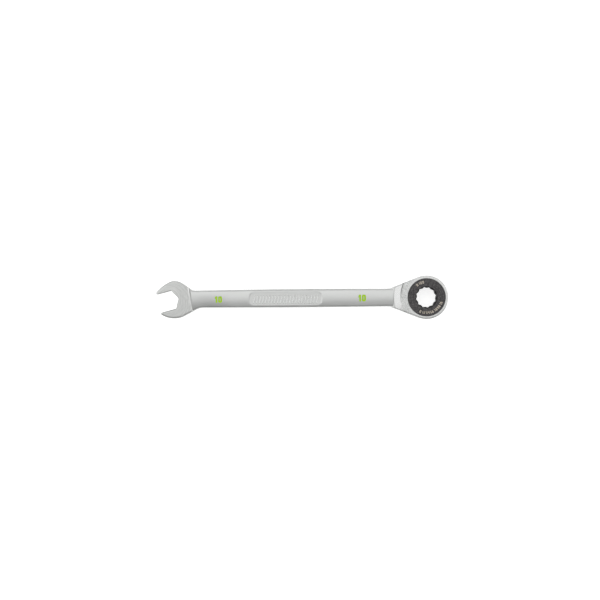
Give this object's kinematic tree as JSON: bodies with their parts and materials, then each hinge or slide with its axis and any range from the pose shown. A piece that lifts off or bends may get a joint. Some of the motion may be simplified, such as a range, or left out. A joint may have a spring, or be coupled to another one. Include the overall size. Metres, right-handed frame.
{
  "type": "ratcheting combination wrench",
  "caption": "Slim steel hand wrench with an angled open jaw at one end and a ratcheting twelve-point ring at the other, for 10 mm fasteners.",
  "frame": {"origin": "on the ring's drive axis, at the ring head's mid-plane", "axes": "+Z along the drive axis out of the front face, +X from the open jaw to the ring's nose with the shank along -X, +Y across the wrench"},
  "size_m": [0.1605, 0.0242, 0.009],
  "materials": {
    "satin_chrome": "satin chrome plating over forged chrome-vanadium steel",
    "black_oxide": "black oxide over turned alloy steel",
    "hardened_steel": "ground and hardened, lightly oiled",
    "spring_steel": "bright spring steel",
    "lime_enamel": "lime-green enamel filled into the stamped numbers"
  },
  "bodies": {
    "wrench": {"wrench_body": "satin_chrome", "thrust_washer": "hardened_steel", "pawl_spring": "spring_steel", "size_mark_jaw_front": "lime_enamel", "size_mark_ring_front": "lime_enamel", "size_mark_jaw_back": "lime_enamel", "size_mark_ring_back": "lime_enamel"},
    "ratchet_gear": {"ratchet_gear": "black_oxide", "retaining_ring": "spring_steel"},
    "pawl": {"pawl": "hardened_steel"}
  },
  "joints": [
    {"name": "gear_spin", "type": "hinge", "parent": "wrench", "child": "ratchet_gear", "pos_m": [0, 0, 0], "axis": [0, 0, 1], "continuous": true},
    {"name": "pawl_slide", "type": "slide", "parent": "wrench", "child": "pawl", "axis": [-0.9848, 0.1736, 0], "range_m": [0, 0.0005], "stiffness_N_per_m": 150, "springref_m": -0.004, "deforming": ["pawl_spring"]}
  ]
}
